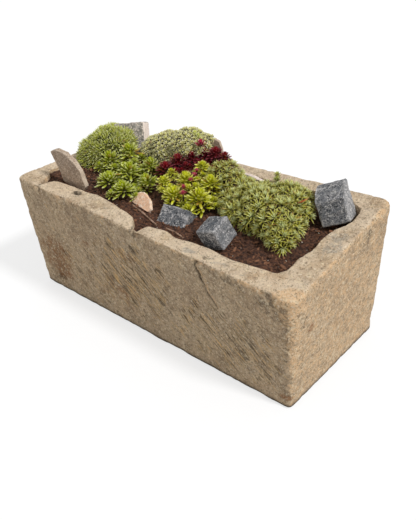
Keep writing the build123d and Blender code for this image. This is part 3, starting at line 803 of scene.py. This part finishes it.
def leafy_piece(name, leaf, leaves, rosettes, finish_name, slot, cores, wild, replaced=()):
    """A plant of rosettes, each leaf a little out of place, over dark cores of old stems.

    Each leaf has its place along it, its rank towards the heart, its luck and its rosette's patch,
    from zero to one. The cores have the value of old stems in all of them; their dark is also painted
    shade under the leaves.
    """
    old_stem = -1
    transforms, rank = leaves
    leaf_points, leaf_faces = leaf
    count = len(rosettes) * len(transforms)
    seeded = np.random.default_rng(count)
    stir = turns(seeded.normal(0, wild, count), 0, 2) @ turns(seeded.normal(0, wild, count), 0, 1)
    whole = rosettes[:, None] @ stir.reshape(len(rosettes), -1, 4, 4) @ transforms
    whole = whole.reshape(-1, 4, 4) @ stretches(seeded.uniform(1 - 2 * wild, 1, (count, 3)))
    points, faces = copies(leaf_points, leaf_faces, whole)
    values = {
        "along": np.tile(leaf_points[:, 0], count),
        "inner": np.repeat(np.tile(rank, len(rosettes)), len(leaf_points)),
        "luck": np.repeat(seeded.uniform(0, 1, count), len(leaf_points)),
        "patch": np.repeat(seeded.uniform(0, 1, len(rosettes)), len(transforms) * len(leaf_points)),
    }
    for core_points, core_faces in cores:
        faces += shifted(core_faces, [len(points)])
        points = np.concatenate([points, core_points])
        values = {key: np.r_[value, np.full(len(core_points), old_stem)] for key, value in values.items()}
    points = np.clip(points, cad_low, cad_high)
    make_piece(name, points, faces, leaf_materials[finish_name], slot, replaced, **values)


# The leaves: a houseleek's are waxy and a little glossy, a saxifrage's are matt with fine hairs,
# and the dry one is dull. Each goes from an old, shaded colour to the blade's own in patches, has
# a paler tip that is partly a painted highlight, and lets a little light in.
leaf_finishes = {
    # Old and shaded leaf, blade, tip and heart, and how rough the leaf is
    "green_houseleek_leaf": ("#86902A", "#C0C83E", "#EAECB0", "#A6B200", 0.28),
    "red_houseleek_leaf": ("#480A10", "#701422", "#B05C66", "#820C14", 0.32),
    "yellow_houseleek_leaf": ("#AEB020", "#DADA34", "#F6F4A0", "#C4C800", 0.28),
    "pink_houseleek_leaf": ("#861630", "#B42444", "#E68C9C", "#C42044", 0.28),
    "mossy_leaf": ("#949C40", "#C8CC6C", "#F8F8CC", "#CCD258", 0.5),
    "pale_leaf": ("#B4AE60", "#E4DEA4", "#FFFDE6", "#E2DE94", 0.5),
    "silver_leaf": ("#929028", "#CAC650", "#F4F0A2", "#DAE2A6", 0.5),
    "dry_leaf": ("#8E4A20", "#B8622C", "#E0A468", "#B8622C", 0.6),
}
leaf_materials = {}
for finish_name, (old_hex, blade_hex, tip_hex, heart_hex, roughness) in leaf_finishes.items():
    leaf_materials[finish_name], tree = empty_material(finish_name)
    place = add(tree, "ShaderNodeTexCoord").outputs["Object"]
    mottle = add(tree, "ShaderNodeTexNoise", {
        "Vector": place, "Scale": 1 / (12 * mm), "Detail": 3,
    }).outputs["Fac"]
    share = add(tree, "ShaderNodeMapRange", {0: mottle, 1: 0.35, 2: 0.65}).outputs[0]
    colour = add(tree, "ShaderNodeMix", {
        0: share, 6: linear(old_hex), 7: linear(blade_hex),
    }, data_type="RGBA").outputs[2]
    # Each layer: the value it follows, where it starts and is full, its most, and its colour. They
    # are whole patches, tips partly paled as a painted highlight, withered leaves, painted shade at the
    # feet, hearts, and the brown of old stems and dead leaves, which is also painted shade under the
    # rosettes.
    for value_name, start, full, most, layer_hex in (
        ("patch", 0.3, 1.0, 0.5, blade_hex), ("along", 0.62, 1.0, 0.85, tip_hex),
        ("luck", 0.90, 0.97, 0.7, "#A0672F"), ("along", 0.50, 0.0, 0.85, "#2E2A0E"),
        ("inner", 0.50, 0.80, 0.9, heart_hex), ("along", -0.05, -0.5, 1.0, "#38291A"),
    ):
        value = add(tree, "ShaderNodeAttribute", attribute_name=value_name).outputs["Fac"]
        share = add(tree, "ShaderNodeMapRange", {0: value, 1: start, 2: full, 3: 0, 4: most}).outputs[0]
        colour = add(tree, "ShaderNodeMix", {
            0: share, 6: colour, 7: linear(layer_hex),
        }, data_type="RGBA").outputs[2]
    shader = add(tree, "ShaderNodeBsdfPrincipled", {
        "Base Color": colour, "Roughness": roughness, "Specular IOR Level": 0.25,
        "Subsurface Weight": 0.1, "Subsurface Radius": (2 * mm, 2 * mm, 1 * mm),
    })
    add(tree, "ShaderNodeOutputMaterial", {"Surface": shader.outputs[0]})

houseleek_leaf = leaf_shape(
    (0, 0.22, 0.45, 0.66, 0.82, 0.93, 1), (0.50, 0.70, 0.92, 1, 0.80, 0.42, 0.05), 0.55, 0.9, 8,
)
houseleek_kinds = {
    # Finish, slot, spread beyond the node's rings, young rosettes, and the leaves: how many, how
    # far out they start, then their tilts in degrees, lengths, widths and lifts, outer to heart
    "houseleek_green": (
        "green_houseleek_leaf", "green_leaf", 1.15, 4,
        rosette_leaves(56, 0.25, (-30, 80), (0.95, 0.48), (0.115, 0.085), (-0.50, 0.05)),
    ),
    "houseleek_red": (
        "red_houseleek_leaf", "red_leaf", 1.6, 6,
        rosette_leaves(56, 0.25, (-35, 80), (0.95, 0.50), (0.120, 0.090), (-0.50, 0.05)),
    ),
    "houseleek_yellow": (
        "yellow_houseleek_leaf", "yellow_leaf", 1.20, 4,
        rosette_leaves(56, 0.25, (-30, 80), (0.95, 0.48), (0.115, 0.085), (-0.50, 0.05)),
    ),
}
# As shares of a rosette's radius: how far its crown sits below its top, where its stem ends
# below that, the stem's radius, the steps between its tiers of older leaves and where these end
crown_drop, stem_drop, stem_radius, tier_step, tiers_end = 0.12, 0.2, 0.42, 0.6, 0.5
# Young rosettes: half the arc they stand on and how far they stray from it in radians, how far
# out they stand, how high as a share of half the stem, and how large they are
young_arc, arc_stray = 1.5, 0.15
young_reaches, young_heights, young_sizes = (0.85, 1.1), (0.7, 1.3), (0.5, 0.68)
houseleek_lean, houseleek_wild = 0.12, 0.10
for kind, (finish_name, slot, full, young_count, leaves) in houseleek_kinds.items():
    boxes = {name: np.array(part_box(name)) for name in sorted(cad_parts) if name.startswith(kind)}
    clump = np.mean([box.mean(0) for box in boxes.values()], axis=0)
    for node_name, (low, high) in boxes.items():
        # Half the mean of the node's length and width, and as much more as it spreads
        radius = 0.25 * full * (high - low)[:2].sum()
        middle = (low + high) / 2
        crown = (*middle[:2], high[2] - crown_drop * radius)
        depth = (crown[2] - low[2]) / 2
        stem = depth - stem_drop * radius
        cores = [ball((*middle[:2], low[2] + stem), (stem_radius * radius, stem_radius * radius, stem))]
        # Older leaves go on down the stem, and young rosettes stand round it towards the clump
        drops = np.arange(0, max(2 * depth - tiers_end * radius, 1e-6), tier_step * radius)
        seats = np.array(crown) - drops[:, None] * (0, 0, 1)
        inward_turn = math.atan2(*(clump - middle)[1::-1])
        young_turns = inward_turn + np.linspace(-young_arc, young_arc, young_count)
        young_turns += random.normal(0, arc_stray, young_count)
        young_reach = random.uniform(*young_reaches, young_count) * radius
        young = np.stack([
            middle[0] + young_reach * np.cos(young_turns), middle[1] + young_reach * np.sin(young_turns),
            low[2] + random.uniform(*young_heights, young_count) * depth,
        ], 1)
        seats = np.concatenate([seats, young])
        sizes = np.r_[np.ones(len(drops)), random.uniform(*young_sizes, young_count)] * radius
        leans = random.normal(0, houseleek_lean, (2, len(seats)))
        rosettes = moves(seats) @ turns(leans[0], 0, 2) @ turns(leans[1], 1, 2)
        rosettes = rosettes @ turns(random.uniform(0, 6, len(seats)), 0, 1)
        rosettes = rosettes @ stretches(np.tile(sizes[:, None], 3))
        leafy_piece(
            node_name + "_plant", houseleek_leaf, leaves, rosettes, finish_name, slot, cores,
            houseleek_wild, [node_name],
        )

# The saxifrages: cushions of many small rosettes, grown together into hummocks. One is mossy with
# fine green leaves, one has tiny cream-edged stars, and two have narrow silvery leaves. They root
# in the compost, under their dead inner leaves.
hummocks = {
    # Each hummock: x, y, radius and its top above the bed, in mm
    "saxifrage_mossy": [(-374, 54, 80, 100), (-396, 13, 62, 79), (-356, 90, 50, 84), (-405, 97, 57, 82)],
    "saxifrage_pale": [(-236, 116, 50, 80), (-190, 127, 64, 102), (-120, 140, 64, 124), (-69, 148, 45, 114)],
    "saxifrage_silver": [
        (232, 26, 76, 94), (290, 12, 66, 92), (326, -28, 46, 62), (186, 38, 56, 86), (300, 70, 50, 86),
        (262, 92, 52, 94), (290, 98, 44, 88), (318, 14, 46, 76), (192, 80, 44, 80), (140, 22, 44, 64),
        (172, -8, 40, 60),
    ],
    "saxifrage_silver_small": [(46, 98, 50, 86), (82, 84, 46, 76), (118, 92, 44, 62)],
}
fine_leaf = leaf_shape((0, 0.4, 0.8, 1), (0.7, 1, 0.8, 0.1), 0.5, 0.4, 4)
cushion_kinds = {
    # Finish, slot, rosette radius and spacing in mm, how deep each sits as a share of its radius,
    # and the leaves as a houseleek's are given
    "saxifrage_mossy": (
        "mossy_leaf", "moss_leaf", 23, 17, 0.72,
        rosette_leaves(16, 0.12, (10, 80), (0.98, 0.75), (0.062, 0.050), (0, 0.15)),
    ),
    "saxifrage_pale": (
        "pale_leaf", "pale_leaf", 13.5, 16, 0.62,
        rosette_leaves(15, 0.12, (0, 66), (0.98, 0.60), (0.17, 0.14), (0, 0.2)),
    ),
    "saxifrage_silver": (
        "silver_leaf", "silver_leaf", 28, 30, 0.45,
        rosette_leaves(30, 0.10, (-12, 75), (0.98, 0.35), (0.050, 0.050), (0, 0.22)),
    ),
    "saxifrage_silver_small": (
        "silver_leaf", "silver_leaf", 25, 27, 0.45,
        rosette_leaves(28, 0.10, (-12, 75), (0.98, 0.35), (0.056, 0.054), (0, 0.22)),
    ),
}
rosette_boxes = [np.array(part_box(name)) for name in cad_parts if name.startswith("houseleek")]
# How many rosettes a ball holds for the square of its radius over their spacing, the level where
# they end under its middle, how deep they may sit in the next hummock, how far into a houseleek's
# box, and how much they face outward rather than up
ball_share, lowest_level, deepest, box_overlap, outward_share = 14.5, -0.35, 1.2, 6 * mm, 0.75
# How much the rosettes' depths, sizes and leaves stray, and how far the brown core lies under
# them, as shares of their depth and radius
depth_stray, size_stray, cushion_wild = (0.8, 1.3), (0.7, 1.2), 0.08
core_depth, core_drop = 0.6, 0.5
for node_name, (finish_name, slot, rosette_radius, spacing, sink_share, leaves) in cushion_kinds.items():
    rows = np.array(hummocks[node_name]) * mm
    reaches = rows[:, 2]
    middles = np.c_[rows[:, :2], bed_plane(rows[:, 0], rows[:, 1]) + rows[:, 3] - reaches]
    sink = sink_share * rosette_radius * mm
    seeded = np.random.default_rng(round(10 * rosette_radius))
    seats, outs, cores = [], [], []
    for number, (middle, reach) in enumerate(zip(middles, reaches)):
        count = int(ball_share * (reach / (spacing * mm)) ** 2)
        level = 1 - (2 * np.arange(count) + 1) / count
        turn = np.arange(count) * golden_angle
        across = np.sqrt(1 - level**2)
        out = np.stack([across * np.cos(turn), across * np.sin(turn), level], 1)
        seat = middle + out * (reach - sink * seeded.uniform(*depth_stray, (count, 1)))
        keep = (level > lowest_level) & (seat[:, 2] > bed_height(seat[:, 0], seat[:, 1]) + 2 * mm)
        for other, other_reach in zip(np.delete(middles, number, 0), np.delete(reaches, number)):
            keep &= np.linalg.norm(seat - other, axis=1) > other_reach - deepest * sink
        for low, high in rosette_boxes:
            keep &= ~np.all((seat > low + box_overlap) & (seat < high - box_overlap), axis=1)
        seats.append(seat[keep])
        outs.append(out[keep])
        # The brown core: dead inner leaves, whose dark is also painted shade between the rosettes
        core_reach = reach - core_depth * sink - core_drop * rosette_radius * mm
        cores.append(ball(middle, np.full(3, core_reach), rings=14, columns=28))
    seats = np.concatenate(seats)
    outs = np.concatenate(outs) * outward_share + (0, 0, 1 - outward_share)
    lean = np.arctan2(np.hypot(outs[:, 0], outs[:, 1]), outs[:, 2])
    sizes = seeded.uniform(*size_stray, (len(seats), 1)) * rosette_radius * mm
    rosettes = moves(seats) @ turns(np.arctan2(outs[:, 1], outs[:, 0]), 0, 1) @ turns(-lean, 0, 2)
    rosettes = rosettes @ turns(seeded.uniform(0, 6, len(seats)), 0, 1) @ stretches(np.tile(sizes, 3))
    leafy_piece(
        node_name + "_plant", fine_leaf, leaves, rosettes, finish_name, slot, cores,
        cushion_wild, [node_name],
    )

# Strays: young red houseleeks rooted among the yellow ones, a pink one over the red, two yellow
# ones in the compost, two green shoots over the pale cushion, a tall seedling at the back, and a
# dry leaf that blew in and lies on a cushion. Each rooted one stands on its own thin stem.
thin_stem, stray_wild = 2.5 * mm, 0.10
strays = {
    # Finish, slot, how the outer and the heart leaves tilt, and each place in mm with its radius
    "young_red_houseleeks": ("pink_houseleek_leaf", "red_leaf", (30, 88), [
        (-6, 31, 407, 14), (26, -49, 397, 14), (9, -27, 400, 13), (7, 4, 407, 12), (-10, 47, 413, 11),
    ]),
    "pink_houseleek": ("pink_houseleek_leaf", "red_leaf", (5, 85), [(-53, 117, 456, 19)]),
    "young_yellow_houseleeks": ("yellow_houseleek_leaf", "yellow_leaf", (10, 80), [
        (105, -12, 368, 13), (96, 4, 356, 11),
    ]),
    "tall_green_saxifrage": ("mossy_leaf", "moss_leaf", (20, 85), [
        (-95, 140, 464, 20), (-78, 136, 462, 19),
    ]),
    "back_seedling": ("mossy_leaf", "moss_leaf", (15, 85), [
        (195, 137, 421, 14), (198, 134, 411, 15), (192, 139, 403, 15), (196, 137, 393, 14),
    ]),
}
for name, (finish_name, slot, tilts, rows) in strays.items():
    rows = np.array(rows) * mm
    feet = bed_height(rows[:, 0], rows[:, 1])
    stems = [
        ball((x, y, (z + foot_z) / 2), (thin_stem, thin_stem, (z - foot_z) / 2))
        for (x, y, z, reach), foot_z in zip(rows, feet)
    ]
    leaves = rosette_leaves(30, 0.2, tilts, (0.95, 0.60), (0.13, 0.10), (-0.4, 0.05))
    rosettes = moves(rows[:, :3]) @ turns(rows[:, 0] / mm, 0, 1) @ stretches(np.tile(rows[:, 3:], 3))
    leafy_piece(name, houseleek_leaf, leaves, rosettes, finish_name, slot, stems, stray_wild)
# The dry leaf: its place, its turn and tilt in degrees, and its length, width and height in mm
dry_place, dry_turn, dry_tilt, dry_size = np.array((325, 44, 417)) * mm, 72, -4, (34, 3.6, 3.6)
dry_pose = moves([dry_place]) @ turns(np.radians([dry_turn]), 0, 1) @ turns(np.radians([dry_tilt]), 0, 2)
leafy_piece(
    "dry_leaf", leaf_shape((0, 0.2, 0.5, 0.8, 1), (0.3, 0.8, 1, 0.7, 0.1), 0.25, 1.2, 8),
    (dry_pose @ stretches(np.array([dry_size]) * mm), np.array([0.3])),
    np.eye(4)[None], "dry_leaf", "red_leaf", [], 0,
)

# The ground is white and shows only the trough's shadow, under a soft sun and a white sky. It
# isn't part of the object. What the camera sees of it glows up to white, and what lights the
# object is a plain pale grey.
ground_reach, glow_strength, sky_strength = 6, 0.70, 0.55
ground_tone, shadow_tone = (0.55, 0.55, 0.55, 1), (0.31, 0.31, 0.31, 1)
backdrop, tree = empty_material("white_ground")
path = add(tree, "ShaderNodeLightPath").outputs
seen = add(tree, "ShaderNodeMath", {0: path["Is Camera Ray"], 1: path["Is Glossy Ray"]}, operation="MAXIMUM")
seen = add(tree, "ShaderNodeMath", {0: seen.outputs[0], 1: path["Is Transmission Ray"]}, operation="MAXIMUM")
ground = add(tree, "ShaderNodeBsdfDiffuse", {"Color": ground_tone}).outputs[0]
shadowed = add(tree, "ShaderNodeBsdfDiffuse", {"Color": shadow_tone}).outputs[0]
glow = add(tree, "ShaderNodeEmission", {"Color": (1, 1, 1, 1), "Strength": glow_strength}).outputs[0]
shown = add(tree, "ShaderNodeAddShader", {0: shadowed, 1: glow}).outputs[0]
surface = add(tree, "ShaderNodeMixShader", {0: seen.outputs[0], 1: ground, 2: shown}).outputs[0]
add(tree, "ShaderNodeOutputMaterial", {"Surface": surface})
ground_mesh = bpy.data.meshes.new("ground")
ground_corners = [(x * ground_reach, y * ground_reach, 0) for x, y in ((-1, -1), (1, -1), (1, 1), (-1, 1))]
ground_mesh.from_pydata(ground_corners, [], [(0, 1, 2, 3)])
ground_mesh.materials.append(backdrop)
ground_plane = bpy.data.objects.new("ground", ground_mesh)
bpy.context.scene.collection.objects.link(ground_plane)
ground_plane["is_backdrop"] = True

sky = bpy.data.worlds.new("white_sky")
sky.use_nodes = True
sky.node_tree.nodes.clear()
path = add(sky.node_tree, "ShaderNodeLightPath").outputs
seen = add(sky.node_tree, "ShaderNodeMath", {
    0: path["Is Camera Ray"], 1: path["Is Transmission Ray"],
}, operation="MAXIMUM").outputs[0]
strength = add(sky.node_tree, "ShaderNodeMapRange", {0: seen, 3: sky_strength, 4: 1}).outputs[0]
glow = add(sky.node_tree, "ShaderNodeBackground", {"Color": (1, 1, 1, 1), "Strength": strength})
add(sky.node_tree, "ShaderNodeOutputWorld", {"Surface": glow.outputs[0]})
bpy.context.scene.world = sky

# A soft sun stands high off the right end, so the long front is in its own shade
sun_azimuth, sun_height = math.radians(8), math.radians(50)
sun_light = bpy.data.lights.new("sun", "SUN")
sun_light.energy = 2.15
sun_light.angle = math.radians(9)
sun = bpy.data.objects.new("sun", sun_light)
toward_sun = Vector((math.cos(sun_azimuth), math.sin(sun_azimuth), math.tan(sun_height)))
sun.rotation_euler = toward_sun.to_track_quat("Z", "Y").to_euler()
bpy.context.scene.collection.objects.link(sun)

# The camera stands in front of the right end and above the rim, turned a little off level. Its
# place and turn were fitted to the block's corners in the photograph.
camera_place = Vector((1204.7, -1196.1, 1271.0)) * mm
azimuth, elevation, roll = math.radians(44), math.radians(33.58), math.radians(-4.75)
flat = math.cos(elevation)
back = Vector((math.sin(azimuth) * flat, -math.cos(azimuth) * flat, math.sin(elevation)))
level_right = Vector((0, 0, 1)).cross(back).normalized()
level_up = back.cross(level_right)
right = math.cos(roll) * level_right + math.sin(roll) * level_up
top = -math.sin(roll) * level_right + math.cos(roll) * level_up
pose = Matrix((right, top, back)).transposed().to_4x4()
pose.translation = camera_place
lens = bpy.data.cameras.new("camera")
lens.lens = 48.8
lens.sensor_width = 36
camera = bpy.data.objects.new("camera", lens)
camera.matrix_world = pose
bpy.context.scene.collection.objects.link(camera)
bpy.context.scene.camera = camera
bpy.context.scene.view_settings.view_transform = "Standard"

# The bounds of what is shown
low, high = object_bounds()
